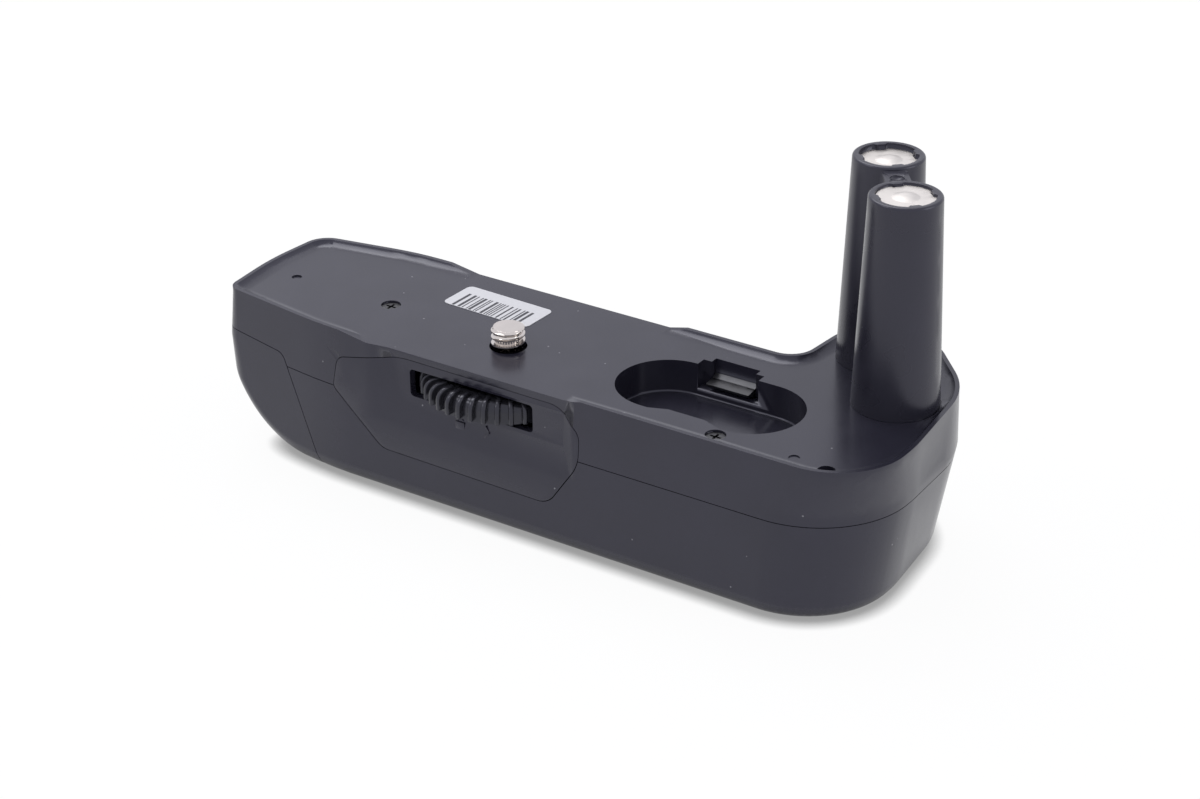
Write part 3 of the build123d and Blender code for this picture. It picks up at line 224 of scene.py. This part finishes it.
plastics = {
    "casePlastic": {"color": (0.013, 0.0125, 0.0195), "roughness": (0.18, 0.25), "grain": 0.10, "dust": 0.9},
    "wheelPlastic": {"color": (0.014, 0.014, 0.017), "roughness": (0.18, 0.26), "grain": 0.05, "dust": 0.0},
    "towerPlastic": {"color": (0.014, 0.0135, 0.020), "roughness": (0.24, 0.32), "grain": 0.06, "dust": 0.25},
    "trayPlastic": {"color": (0.014, 0.014, 0.016), "roughness": (0.42, 0.55), "grain": 0.15, "dust": 0.0},
    "markInk": {"color": (0.020, 0.020, 0.023), "roughness": (0.45, 0.60), "grain": 0.05, "dust": 0.0},
}
metals = {
    "contactNickel": {"color": (0.66, 0.63, 0.60), "roughness": (0.46, 0.56), "brush": 0.2},
    "screwNickel": {"color": (0.70, 0.65, 0.61), "roughness": (0.11, 0.18), "brush": 0.02},
    "plainSteel": {"color": (0.50, 0.50, 0.50), "roughness": (0.28, 0.40), "brush": 0.15},
    "blackSteel": {"color": (0.075, 0.075, 0.08), "roughness": (0.28, 0.40), "brush": 0.1},
    "clipSteel": {"color": (0.07, 0.07, 0.075), "roughness": (0.26, 0.38), "brush": 0.3},
}
plasticWay = {
    "slowScale": 90.0,
    "lighter": 1.5,
    "grainScale": 2600.0,
    "grainDepth": 0.03,
    "dustScale": 300.0,
    "dustSize": 0.055,
    "dustShare": 0.35,
    "dustColor": (0.16, 0.16, 0.17),
    "ior": 1.5,
    "sheen": (0.87, 0.87, 1.0),
}
metalWay = {
    "slowScale": 420.0,
    "darker": 0.85,
    "brushScale": (6000.0, 500.0, 6000.0),
    "brushDepth": 0.01,
}
labelLook = {
    "tones": ((0.53, 0.53, 0.55), (0.60, 0.60, 0.62)),
    "toothScale": 1500.0,
    "roughness": 0.5,
}
slowRange = (0.3, 0.7)  # the part of the slow noise that spans the gloss
finishes = {}


def startMaterial(name):
    material = bpy.data.materials.new(name)
    material.use_nodes = True
    tree = material.node_tree
    return material, tree, tree.nodes["Principled BSDF"]


def addNoise(tree, scale, detail, place):
    made = addNode(tree, "ShaderNodeTexNoise", {"Scale": scale, "Detail": detail}, Vector=place)
    return made.outputs["Fac"]


def setGloss(tree, shader, slow, roughness):
    gloss = addNode(tree, "ShaderNodeMapRange", {"From Min": slowRange[0], "From Max": slowRange[1],
                                                 "To Min": roughness[0], "To Max": roughness[1]}, Value=slow)
    tree.links.new(gloss.outputs["Result"], shader.inputs["Roughness"])


def setBump(tree, shader, height, strength, depth):
    bump = addNode(tree, "ShaderNodeBump", {"Strength": strength, "Distance": depth * mm}, Height=height)
    tree.links.new(bump.outputs["Normal"], shader.inputs["Normal"])


def makePlastic(name, look):
    # moulded plastic: fine grain in the bump, slow changes of gloss, and a few specks of dust
    material, tree, shader = startMaterial(name)
    place = addNode(tree, "ShaderNodeTexCoord").outputs["Object"]
    slow = addNoise(tree, plasticWay["slowScale"], 3.0, place)
    setGloss(tree, shader, slow, look["roughness"])
    setBump(tree, shader, addNoise(tree, plasticWay["grainScale"], 2.0, place), look["grain"],
            plasticWay["grainDepth"])
    base = look["color"]
    color = addBlend(tree, slow, base, tuple(channel * plasticWay["lighter"] for channel in base))
    if look["dust"]:
        cells = addNode(tree, "ShaderNodeTexVoronoi", {"Scale": plasticWay["dustScale"]}, Vector=place)
        near = addMath(tree, "LESS_THAN", cells.outputs["Distance"], plasticWay["dustSize"])
        tone = addNode(tree, "ShaderNodeSeparateColor", Color=cells.outputs["Color"])
        some = addMath(tree, "GREATER_THAN", tone.outputs["Red"], 1 - plasticWay["dustShare"] * look["dust"])
        color = addBlend(tree, addMath(tree, "MULTIPLY", near, some), color, plasticWay["dustColor"])
    tree.links.new(color, shader.inputs["Base Color"])
    shader.inputs["IOR"].default_value = plasticWay["ior"]
    shader.inputs["Specular Tint"].default_value = (*plasticWay["sheen"], 1)
    return material


def makeMetal(name, look):
    # plated metal: tone and gloss drift a little, with faint rubbing marks
    material, tree, shader = startMaterial(name)
    place = addNode(tree, "ShaderNodeTexCoord").outputs["Object"]
    slow = addNoise(tree, metalWay["slowScale"], 4.0, place)
    setGloss(tree, shader, slow, look["roughness"])
    stretch = addNode(tree, "ShaderNodeMapping", {"Scale": metalWay["brushScale"]}, Vector=place)
    lines = addNoise(tree, 1.0, 2.0, stretch.outputs["Vector"])
    setBump(tree, shader, lines, look["brush"], metalWay["brushDepth"])
    base = look["color"]
    color = addBlend(tree, slow, tuple(channel * metalWay["darker"] for channel in base), base)
    tree.links.new(color, shader.inputs["Base Color"])
    shader.inputs["Metallic"].default_value = 1.0
    return material


def makeLabel():
    # label film: plain white with a faint tooth
    material, tree, shader = startMaterial("labelWhite")
    place = addNode(tree, "ShaderNodeTexCoord").outputs["Object"]
    tooth = addNoise(tree, labelLook["toothScale"], 3.0, place)
    tree.links.new(addBlend(tree, tooth, *labelLook["tones"]), shader.inputs["Base Color"])
    shader.inputs["Roughness"].default_value = labelLook["roughness"]
    return material


for name, look in plastics.items():
    finishes[name] = makePlastic(name, look)
for name, look in metals.items():
    finishes[name] = makeMetal(name, look)
finishes["labelWhite"] = makeLabel()

finishOf = {"case_plastic": "casePlastic", "wheel_plastic": "wheelPlastic", "tower_plastic": "towerPlastic",
            "tray_plastic": "trayPlastic", "contact_nickel": "contactNickel", "plain_steel": "plainSteel",
            "black_steel": "blackSteel", "clip_steel": "clipSteel", "screw_nickel": "screwNickel",
            "label_white": "labelWhite"}
slotOf = {}
for row in frame["record"]["subparts"]:
    node = nodes[row["node"]]
    slotOf[row["node"]] = row["material_slot"]
    node.data.materials.clear()
    node.data.materials.append(finishes[finishOf[row["material_slot"]]])
print("finishes made")


# ways of working on a mesh

mergeReach = 0.002
levelSlack = 0.02
radiusSlack = 0.01
upright = 0.9  # a face counts as level from this much of its normal on
discCorners = 20


def workOn(piece):
    deselectAll()
    piece.select_set(True)
    bpy.context.view_layer.objects.active = piece


def openMesh(piece):
    workOn(piece)
    bpy.ops.object.mode_set(mode="EDIT")


def closeMesh():
    bpy.ops.object.mode_set(mode="OBJECT")


def pick(piece, test, kind="FACE"):
    # in edit mode, selects the faces or edges that pass the test
    bpy.ops.mesh.select_mode(type=kind)
    bpy.ops.mesh.select_all(action="DESELECT")
    mesh = bmesh.from_edit_mesh(piece.data)
    for item in mesh.faces if kind == "FACE" else mesh.edges:
        if test(item):
            item.select_set(True)
    mesh.select_flush_mode()
    bmesh.update_edit_mesh(piece.data)


def middleOf(item):
    corners = [corner.co for corner in item.verts]
    return sum(corners, Vector()) / len(corners)


def liesAt(item, level):
    return abs(middleOf(item).z - level * mm) < levelSlack * mm


def isDisc(face, up=1):
    # a flat round cap, which has more corners than any side face
    return face.normal.z * up > upright and len(face.verts) > discCorners


def useModifier(piece, kind, **values):
    modifier = piece.modifiers.new(kind.lower(), kind)
    for name, value in values.items():
        setattr(modifier, name, value)
    workOn(piece)
    bpy.ops.object.modifier_apply(modifier=modifier.name)


def joinPieces(pieces):
    workOn(pieces[0])
    for piece in pieces[1:]:
        piece.select_set(True)
    bpy.ops.object.join()
    return bpy.context.object


def bakePlace(piece):
    workOn(piece)
    bpy.ops.object.transform_apply(location=True, rotation=True, scale=True)


def addCylinder(radius, low, high, sides=96):
    bpy.ops.mesh.primitive_cylinder_add(vertices=sides, radius=radius * mm, depth=(high - low) * mm,
                                        location=(0, 0, (low + high) / 2 * mm))
    piece = bpy.context.object
    bakePlace(piece)
    return piece


def finishPiece(piece, name, body, slot, replaced=(), finish=None, smooth=35):
    bakePlace(piece)
    piece.name = name
    piece.data.name = name
    piece.data.materials.clear()
    piece.data.materials.append(finishes[finish or finishOf[slot]])
    bpy.ops.object.shade_smooth_by_angle(angle=math.radians(smooth))
    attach(piece, body)
    if replaced:
        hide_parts(*replaced)


def copyNode(node):
    piece = bpy.data.objects.new(node + "Copy", nodes[node].data.copy())
    bpy.context.scene.collection.objects.link(piece)
    openMesh(piece)
    bpy.ops.mesh.select_all(action="SELECT")
    bpy.ops.mesh.remove_doubles(threshold=mergeReach * mm)
    closeMesh()
    return piece


# moulded case parts: the solids' own shapes with their outer edges broken

bands = {  # where the edges to be broken lie
    "lip": -1.5,
    "seamHigh": -10.6,
    "seamLow": -11.6,
    "lower": -11.0,
    "panel": -11.5,
    "door": -34.0,
    "postTop": 36.0,
    "foot": -6.4,
    "footSlack": 0.03,
}
softEdges = {
    "upper_case": {"width": 0.22, "name": "upperCaseShell", "body": "grip", "footWidth": 0.45,
                   "foot": lambda place: abs(place.z - bands["foot"] * mm) < bands["footSlack"] * mm,
                   "where": lambda place: (place.z > bands["lip"] * mm
                                           or bands["seamLow"] * mm < place.z < bands["seamHigh"] * mm)},
    "lower_case": {"width": 0.12, "name": "lowerCaseShell", "body": "grip",
                   "where": lambda place: place.z < bands["lower"] * mm},
    "rear_panel": {"width": 0.18, "name": "rearPanelPlate", "body": "grip", "rounded": True,
                   "where": lambda place: place.y < bands["panel"] * mm},
    "battery_door": {"width": 0.12, "name": "batteryDoorShell", "body": "door",
                     "where": lambda place: place.x < bands["door"] * mm},
    "contact_tower": {"width": 0.10, "name": "contactTowerPosts", "body": "grip", "rounded": True,
                      "where": lambda place: place.z > bands["postTop"] * mm},
}
sharpAngle = math.radians(38)
flatAngle = math.radians(0.6)
bevelProfile = 0.6


def isSharp(edge, convex):
    return edge.is_manifold and edge.is_convex == convex and edge.calc_face_angle(0) > sharpAngle


def softenNode(node, look):
    # breaks the outer edges, and rounds the foot of the lip where a piece has one
    piece = copyNode(node)
    openMesh(piece)
    bpy.ops.mesh.select_all(action="SELECT")
    if "rounded" not in look:
        bpy.ops.mesh.dissolve_limited(angle_limit=flatAngle)
    pick(piece, lambda edge: isSharp(edge, True) and look["where"](middleOf(edge)), "EDGE")
    bpy.ops.mesh.bevel(offset=look["width"] * mm, segments=2, profile=bevelProfile, affect="EDGES",
                       clamp_overlap=True)
    if "foot" in look:
        pick(piece, lambda edge: isSharp(edge, False) and look["foot"](middleOf(edge)), "EDGE")
        bpy.ops.mesh.bevel(offset=look["footWidth"] * mm, segments=3, affect="EDGES", clamp_overlap=True)
    closeMesh()
    finishPiece(piece, look["name"], look["body"], slotOf[node], replaced=[node])
    if "rounded" not in look:
        useModifier(piece, "WEIGHTED_NORMAL", mode="FACE_AREA", weight=100, keep_sharp=True)
    print(node, "softened,", len(piece.data.polygons), "faces")


for node, look in softEdges.items():
    softenNode(node, look)


# thumb wheel: dished body, and ribs that curl over its upper edge

wheel = {
    "radius": 16.7,
    "bodyRadius": 15.5,
    "top": -3.9,
    "bodyTop": -4.5,
    "bodyRound": 2.0,
    "bottom": -8.4,
    "sides": 156,
    "rimInner": 11.4,
    "webTop": -5.5,
    "webBottom": -7.0,
    "hubRadius": 6.6,
    "hubTop": -3.5,
    "hubBottom": -11.0,
    "socketRadius": 5.25,
    "socketFloor": -10.0,
    "ribs": 40,
    "ribTurn": 0.5,
    "ribWidth": 0.95,
    "ribThick": 1.4,
    "ribCurl": 2.4,
    "ribRun": 1.5,
    "ribRound": 0.3,
    "ribLift": 0.3,
    "ribSteps": 8,
    "ribEdge": math.radians(50),
}


def stepIn(piece, level, fromRadius, toRadius, toLevel, up=1):
    # insets the flat face at a level to a smaller radius and moves it to another level
    pick(piece, lambda face: liesAt(face, level) and isDisc(face, up))
    bpy.ops.mesh.inset(thickness=(fromRadius - toRadius) * mm, depth=0)
    bpy.ops.mesh.extrude_region_move(TRANSFORM_OT_translate={"value": (0, 0, (toLevel - level) * mm)})


def makeWheelBody():
    body = addCylinder(wheel["bodyRadius"], wheel["bottom"], wheel["bodyTop"], wheel["sides"])
    openMesh(body)
    stepIn(body, wheel["bodyTop"], wheel["bodyRadius"], wheel["rimInner"], wheel["webTop"])
    stepIn(body, wheel["webTop"], wheel["rimInner"], wheel["hubRadius"], wheel["hubTop"])
    stepIn(body, wheel["hubTop"], wheel["hubRadius"], wheel["socketRadius"], wheel["socketFloor"])
    stepIn(body, wheel["bottom"], wheel["bodyRadius"], wheel["rimInner"], wheel["webBottom"], up=-1)
    stepIn(body, wheel["webBottom"], wheel["rimInner"], wheel["hubRadius"], wheel["hubBottom"], up=-1)
    outer = (wheel["bodyRadius"] - radiusSlack) * mm
    pick(body, lambda edge: liesAt(edge, wheel["bodyTop"])
         and all(corner.co.xy.length > outer for corner in edge.verts), "EDGE")
    bpy.ops.mesh.bevel(offset=wheel["bodyRound"] * mm, segments=6, affect="EDGES", clamp_overlap=True)
    closeMesh()
    return body


def makeRib():
    # one rib: an upright bar that is spun over the edge and drawn inwards
    low = wheel["bottom"] + wheel["ribLift"]
    bend = wheel["top"] - wheel["ribCurl"]
    middle = wheel["radius"] - wheel["ribThick"] / 2
    bpy.ops.mesh.primitive_cube_add(size=1, location=(middle * mm, 0, (low + bend) / 2 * mm))
    rib = bpy.context.object
    rib.scale = (wheel["ribThick"] * mm, wheel["ribWidth"] * mm, (bend - low) * mm)
    bakePlace(rib)
    openMesh(rib)
    pick(rib, lambda face: face.normal.z > upright)
    bpy.ops.mesh.spin(steps=wheel["ribSteps"], angle=math.pi / 2, axis=(0, 1, 0),
                      center=((wheel["radius"] - wheel["ribCurl"]) * mm, 0, bend * mm))
    bpy.ops.mesh.extrude_region_move(TRANSFORM_OT_translate={"value": (-wheel["ribRun"] * mm, 0, 0)})
    bpy.ops.mesh.select_all(action="SELECT")
    bpy.ops.mesh.remove_doubles(threshold=mergeReach / 2 * mm)
    bpy.ops.mesh.normals_make_consistent(inside=False)
    closeMesh()
    useModifier(rib, "BEVEL", width=wheel["ribRound"] * mm, segments=3, limit_method="ANGLE",
                angle_limit=wheel["ribEdge"])
    return rib


def makeWheel():
    parts = [makeWheelBody(), makeRib()]
    for index in range(1, wheel["ribs"]):
        rib = bpy.data.objects.new("rib", parts[1].data.copy())
        rib.data.transform(Matrix.Rotation(index * tau / wheel["ribs"], 4, "Z"))
        bpy.context.scene.collection.objects.link(rib)
        parts.append(rib)
    turn = Matrix.Rotation(math.radians(wheel["ribTurn"]), 4, "Z")
    for part in parts:
        part.data.transform(turn)
    finishPiece(joinPieces(parts), "ribbedThumbWheel", "wheel", "wheel_plastic", replaced=["thumb_wheel"],
                smooth=40)


makeWheel()
print("wheel made")


# camera screw: a true helix on the solid's own shank and head

screw = {
    "pitch": 1.27,
    "rootRadius": 2.58,
    "crestRadius": 3.175,
    "crestWidth": 0.22,
    "baseWidth": 0.5,
    "collarRadius": 2.78,
    "collarLow": 2.95,
    "crestAngle": 213.5,
    "crestHeight": 0.70,
    "lowest": 0.25,
    "top": 4.0,
    "turns": 5,
    "turnSteps": 64,
    "chamfer": 0.5,
    "cut": -2.2,  # below this the solid's own shank and head are kept
    "overlap": 0.05,
    "rootOverlap": 0.12,
    "spare": 0.5,
}


def makeThread():
    inner, outer = screw["rootRadius"] - screw["rootOverlap"], screw["crestRadius"]
    bpy.ops.mesh.primitive_plane_add(size=1, location=((inner + outer) / 2 * mm, 0, screw["lowest"] * mm),
                                     rotation=(math.pi / 2, 0, 0))
    ridge = bpy.context.object
    ridge.scale = ((outer - inner) * mm, screw["baseWidth"] * mm, 1)
    bakePlace(ridge)
    openMesh(ridge)
    pick(ridge, lambda edge: all(corner.co.x > (outer - radiusSlack) * mm for corner in edge.verts), "EDGE")
    bpy.ops.transform.resize(value=(1, 1, screw["crestWidth"] / screw["baseWidth"]),
                             center_override=(outer * mm, 0, screw["lowest"] * mm))
    bpy.ops.mesh.select_all(action="SELECT")
    bpy.ops.mesh.delete(type="ONLY_FACE")
    closeMesh()
    turnsUp = (screw["lowest"] - screw["crestHeight"]) / screw["pitch"]
    ridge.rotation_euler.z = math.radians(screw["crestAngle"]) + turnsUp * tau
    bakePlace(ridge)
    useModifier(ridge, "SCREW", axis="Z", angle=tau, screw_offset=screw["pitch"] * mm,
                iterations=screw["turns"], steps=screw["turnSteps"], render_steps=screw["turnSteps"],
                use_merge_vertices=False)
    openMesh(ridge)
    bpy.ops.mesh.select_mode(type="EDGE")
    bpy.ops.mesh.select_all(action="DESELECT")
    bpy.ops.mesh.select_non_manifold()
    bpy.ops.mesh.fill_holes(sides=0)
    bpy.ops.mesh.select_all(action="SELECT")
    bpy.ops.mesh.normals_make_consistent(inside=False)
    closeMesh()
    return ridge


def makeScrew():
    high = screw["top"] + screw["spare"]
    core = addCylinder(screw["rootRadius"], screw["cut"] - 2 * screw["overlap"], high)
    thread = makeThread()
    useModifier(core, "BOOLEAN", object=thread, operation="UNION", solver="EXACT")
    collar = addCylinder(screw["collarRadius"], screw["collarLow"], high)
    useModifier(core, "BOOLEAN", object=collar, operation="UNION", solver="EXACT")
    envelope = addCylinder(screw["crestRadius"] + screw["overlap"], screw["cut"], screw["top"])
    openMesh(envelope)
    pick(envelope, lambda edge: all(corner.co.z > (screw["top"] - radiusSlack) * mm for corner in edge.verts),
         "EDGE")
    bpy.ops.mesh.bevel(offset=screw["chamfer"] * mm, segments=2, affect="EDGES")
    closeMesh()
    useModifier(core, "BOOLEAN", object=envelope, operation="INTERSECT", solver="EXACT")
    foot = copyNode("camera_screw")
    openMesh(foot)
    bpy.ops.mesh.select_all(action="SELECT")
    bpy.ops.mesh.bisect(plane_co=(0, 0, (screw["cut"] + screw["overlap"]) * mm), plane_no=(0, 0, 1),
                        use_fill=True, clear_outer=True)
    closeMesh()
    for helper in (thread, collar, envelope):
        bpy.data.objects.remove(helper)
    finishPiece(joinPieces([core, foot]), "threadedScrew", "screw", "screw_nickel", replaced=["camera_screw"],
                smooth=30)


makeScrew()
print("screw made")


# contact plates: the solid's outline with a soft dome

plate = {
    "radius": 2.5,
    "rings": [(0.3, 0.04), (0.4, 0.12), (0.45, 0.12), (0.45, 0.07), (0.45, 0.03)],  # width and rise
    "thickness": 0.4,
    "cutSlack": 0.002,
    "domeDepth": 0.2,
    "domeSides": 64,
    "names": {"tower_contact_near": "nearContactPlate", "tower_contact_far": "farContactPlate"},
}


def makePlate(node, name):
    low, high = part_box(node)
    seat = low[2]
    middle = ((low[0] + high[0]) / 2, (low[1] + high[1]) / 2)
    base = copyNode(node)
    openMesh(base)
    bpy.ops.mesh.select_all(action="SELECT")
    bpy.ops.mesh.bisect(plane_co=(0, 0, seat + (plate["thickness"] - plate["cutSlack"]) * mm),
                        plane_no=(0, 0, 1), use_fill=True, clear_outer=True)
    closeMesh()
    domeZ = seat + (plate["thickness"] - plate["domeDepth"] / 2) * mm
    bpy.ops.mesh.primitive_cylinder_add(vertices=plate["domeSides"], radius=plate["radius"] * mm,
                                        depth=plate["domeDepth"] * mm, location=(*middle, domeZ))
    dome = bpy.context.object
    bakePlace(dome)
    openMesh(dome)
    for width, rise in plate["rings"]:
        top = max(corner.co.z for corner in bmesh.from_edit_mesh(dome.data).verts)
        pick(dome, lambda face: isDisc(face) and liesAt(face, top / mm))
        bpy.ops.mesh.inset(thickness=width * mm, depth=rise * mm)
    closeMesh()
    finishPiece(joinPieces([base, dome]), name, "grip", "contact_nickel", replaced=[node], smooth=30)


for node, name in plate["names"].items():
    makePlate(node, name)
print("contact plates made")


# label: plain bars along its near side

label = {
    "middle": (-11.4, 12.7),
    "turn": -1.9,
    "barStart": -7.9,
    "barEnd": 7.6,
    "barLow": -4.25,
    "barHigh": 1.4,
    "barWidths": (0.26, 0.26, 0.4, 0.6),
    "gapWidths": (0.28, 0.4, 0.55, 0.75),
    "height": 0.1,
    "ink": 0.012,
}


def makeBars():
    bars = []
    along = label["barStart"]
    while along < label["barEnd"]:
        width = random.choice(label["barWidths"])
        bpy.ops.mesh.primitive_cube_add(size=1)
        bar = bpy.context.object
        bar.location = (along + width / 2, (label["barLow"] + label["barHigh"]) / 2,
                        label["height"] + label["ink"] / 2)
        bar.scale = (width, label["barHigh"] - label["barLow"], label["ink"])
        bakePlace(bar)
        bars.append(bar)
        along += width + random.choice(label["gapWidths"])
    bars = joinPieces(bars)
    middle = Vector((*label["middle"], 0))
    turn = Matrix.Rotation(math.radians(label["turn"]), 4, "Z")
    bars.data.transform(Matrix.Scale(mm, 4) @ Matrix.Translation(middle) @ turn)
    finishPiece(bars, "labelBars", "grip", "label_white", finish="markInk", smooth=20)


makeBars()
print("label made")


# raised marks under the window: a padlock and a chevron

marks = {
    "lockPlace": (-2.2, -11.75),  # X and Z
    "lockWidth": 2.0,
    "lockHeight": 1.45,
    "shackle": 0.62,
    "line": 0.3,
    "chevronPlace": (3.9, -11.5),
    "chevronSize": 1.25,
    "chevronSpread": 0.42,
    "chevronArm": 1.25,
    "chevronLean": math.radians(40),
    "proud": 0.14,
    "depth": 0.5,
    "shackleSink": 0.1,
    "shackleSteps": 36,
    "lineSteps": 10,
    "edge": 0.05,
    "usualSurface": -12.2,
}


def panelSurface(x, z):
    # Y of the panel's outer face at a place in the side view
    bpy.context.view_layer.update()
    start = Vector((x, -50, z)) * mm
    hit, place, *_ = bpy.data.objects["rearPanelPlate"].ray_cast(start, Vector((0, 1, 0)))
    return place.y / mm if hit else marks["usualSurface"]


def barMiddle(x, z):
    # Y of the middle of a bar that stands proud of the panel there
    return panelSurface(x, z) - marks["proud"] + marks["depth"] / 2


def addBar(middle, size, turn=0.0):
    bpy.ops.mesh.primitive_cube_add(size=1)
    bar = bpy.context.object
    bar.scale = (size[0] * mm, marks["depth"] * mm, size[1] * mm)
    bar.rotation_euler.y = turn
    bar.location = Vector((middle[0], barMiddle(*middle), middle[1])) * mm
    bakePlace(bar)
    useModifier(bar, "BEVEL", width=marks["edge"] * mm, segments=2)
    return bar


def makeMarks():
    x, z = marks["lockPlace"]
    bars = [addBar((x, z), (marks["lockWidth"], marks["lockHeight"]))]
    bpy.ops.mesh.primitive_torus_add(major_segments=marks["shackleSteps"], minor_segments=marks["lineSteps"],
                                     major_radius=marks["shackle"] * mm, minor_radius=marks["line"] / 2 * mm,
                                     rotation=(math.pi / 2, 0, 0))
    ring = bpy.context.object
    ring.location = Vector((x, barMiddle(x, z + 1) - marks["shackleSink"], z + marks["lockHeight"] / 2)) * mm
    bakePlace(ring)
    bars.append(ring)
    x, z = marks["chevronPlace"]
    reach = marks["chevronSize"]
    for way in (-1, 1):
        place = (x, z + way * reach * marks["chevronSpread"])
        bars.append(addBar(place, (marks["line"], reach * marks["chevronArm"]), -way * marks["chevronLean"]))
    finishPiece(joinPieces(bars), "panelMarks", "grip", "case_plastic", smooth=40)


makeMarks()
print("marks made")
